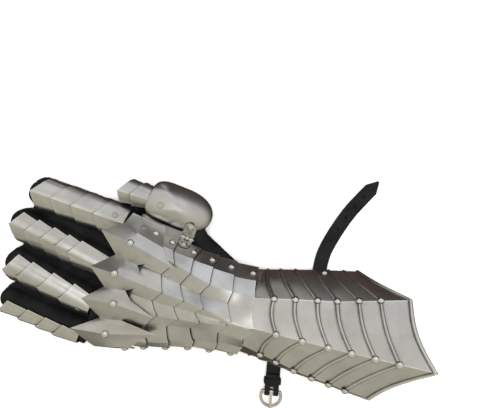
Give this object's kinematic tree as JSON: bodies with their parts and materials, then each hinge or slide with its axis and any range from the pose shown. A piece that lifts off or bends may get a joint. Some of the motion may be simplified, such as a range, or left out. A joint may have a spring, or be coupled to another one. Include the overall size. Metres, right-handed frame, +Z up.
{
  "type": "armoured gauntlet",
  "caption": "Left-hand armoured gauntlet: riveted steel plates over a black leather glove, with a flared fluted cuff, a hinged thumb guard and a buckled wrist strap",
  "frame": {"origin": "middle of the base of the whole piece's box, on the surface that it lies on", "axes": "+X from the fingertips to the elbow edge, +Y to the thumb side, +Z up, palm down"},
  "size_m": [0.414, 0.2614, 0.093],
  "materials": {
    "steel": "satin brushed mild steel with polished rivet heads",
    "leather": "matte black leather",
    "nickel": "polished nickel"
  },
  "bodies": {
    "gauntlet": {"cuff": "steel", "lame_1": "steel", "lame_2": "steel", "lame_3": "steel", "lame_4": "steel", "lame_5": "steel", "knuckle_plate": "steel", "index_scale_1": "steel", "index_scale_2": "steel", "index_scale_3": "steel", "index_scale_4": "steel", "middle_scale_1": "steel", "middle_scale_2": "steel", "middle_scale_3": "steel", "middle_scale_4": "steel", "middle_scale_5": "steel", "ring_scale_1": "steel", "ring_scale_2": "steel", "ring_scale_3": "steel", "ring_scale_4": "steel", "pinky_scale_1": "steel", "pinky_scale_2": "steel", "pinky_scale_3": "steel", "pinky_scale_4": "steel", "hinge_leaf_hand": "steel", "hinge_pin": "steel", "glove_hand": "leather", "glove_index": "leather", "glove_middle": "leather", "glove_ring": "leather", "glove_pinky": "leather", "glove_thumb": "leather", "strap_long": "leather", "strap_short": "leather", "strap_keeper": "leather", "buckle_frame": "nickel"},
    "thumb_guard": {"thumb_plate": "steel", "thumb_scale_1": "steel", "thumb_scale_2": "steel", "hinge_leaf_thumb": "steel"},
    "buckle_tongue": {"buckle_tongue": "nickel"}
  },
  "joints": [
    {"name": "thumb_hinge", "type": "hinge", "parent": "gauntlet", "child": "thumb_guard", "pos_m": [-0.03603, 0.00658, 0.025], "axis": [1, 0, 0], "range_deg": [0, 45]},
    {"name": "tongue_hinge", "type": "hinge", "parent": "gauntlet", "child": "buckle_tongue", "pos_m": [0.09899, -0.10726, 0.00435], "axis": [-0.96, -0.28, 0], "range_deg": [0, 110]}
  ]
}
